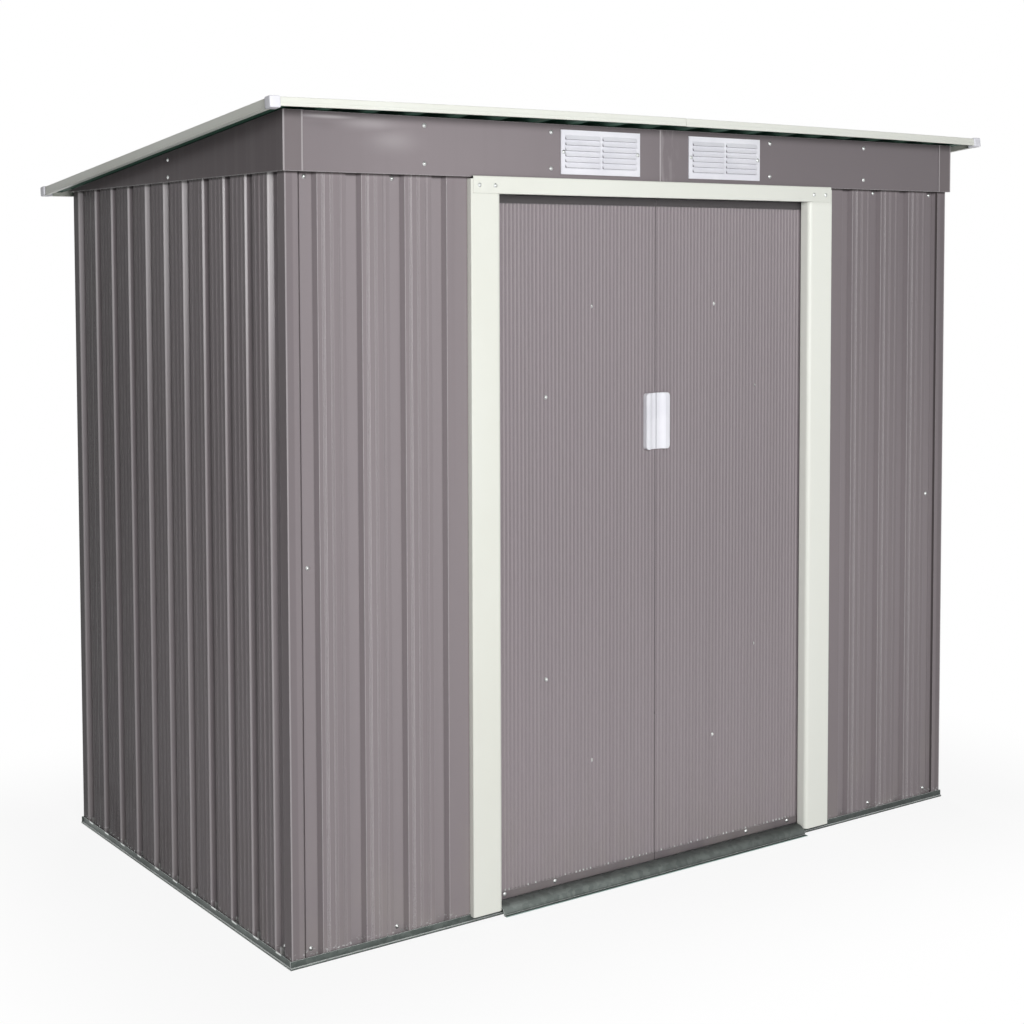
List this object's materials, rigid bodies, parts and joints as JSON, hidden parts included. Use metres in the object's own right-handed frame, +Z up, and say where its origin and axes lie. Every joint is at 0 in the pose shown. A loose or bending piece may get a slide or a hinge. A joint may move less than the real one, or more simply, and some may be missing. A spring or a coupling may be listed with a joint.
{
  "type": "metal storage shed",
  "caption": "Steel garden shed with ribbed sheet walls, a single-slope roof with pale edge trims, louvred vents in the fascia and a pair of sliding doors.",
  "frame": {"origin": "on the ground, under the middle of the shed", "axes": "+X along the front to the right, +Y from the door side to the back, +Z up"},
  "size_m": [2.13, 1.2776, 1.7984],
  "materials": {
    "grey_sheet": "satin",
    "cream_trim": "satin",
    "white_plastic": "satin",
    "galvanised_steel": "dull"
  },
  "bodies": {
    "shed": {"front_wall_left": "grey_sheet", "front_wall_right": "grey_sheet", "left_wall_front": "grey_sheet", "left_wall_back": "grey_sheet", "right_wall_front": "grey_sheet", "right_wall_back": "grey_sheet", "back_wall_left": "grey_sheet", "back_wall_right": "grey_sheet", "corner_front_left": "grey_sheet", "corner_front_right": "grey_sheet", "corner_back_left": "grey_sheet", "corner_back_right": "grey_sheet", "front_fascia_left": "grey_sheet", "front_fascia_right": "grey_sheet", "left_gable": "grey_sheet", "right_gable": "grey_sheet", "roof_sheet_left": "grey_sheet", "roof_sheet_middle": "grey_sheet", "roof_sheet_right": "grey_sheet", "left_jamb": "cream_trim", "right_jamb": "cream_trim", "door_header": "cream_trim", "front_roof_trim_left": "cream_trim", "front_roof_trim_right": "cream_trim", "back_roof_trim": "cream_trim", "left_roof_trim": "cream_trim", "right_roof_trim": "cream_trim", "vent_left": "white_plastic", "vent_right": "white_plastic", "roof_corner_caps": "white_plastic", "base_rail_front": "galvanised_steel", "base_rail_back": "galvanised_steel", "base_rail_left": "galvanised_steel", "base_rail_right": "galvanised_steel", "threshold_ramp": "galvanised_steel", "bottom_door_track": "galvanised_steel", "top_door_track": "galvanised_steel", "wall_top_rails": "galvanised_steel", "mid_braces": "galvanised_steel", "roof_beam": "galvanised_steel"},
    "left_door": {"left_door_panel": "grey_sheet", "left_door_rails": "grey_sheet", "left_door_stiffeners": "galvanised_steel", "left_door_handle": "white_plastic", "left_door_glides": "white_plastic"},
    "right_door": {"right_door_panel": "grey_sheet", "right_door_rails": "grey_sheet", "right_door_stiffeners": "galvanised_steel", "right_door_handle": "white_plastic", "right_door_glides": "white_plastic"}
  },
  "joints": [
    {"name": "left_door_slide", "type": "slide", "parent": "shed", "child": "left_door", "axis": [-1, 0, 0], "range_m": [0, 0.433]},
    {"name": "right_door_slide", "type": "slide", "parent": "shed", "child": "right_door", "axis": [1, 0, 0], "range_m": [0, 0.433]}
  ]
}
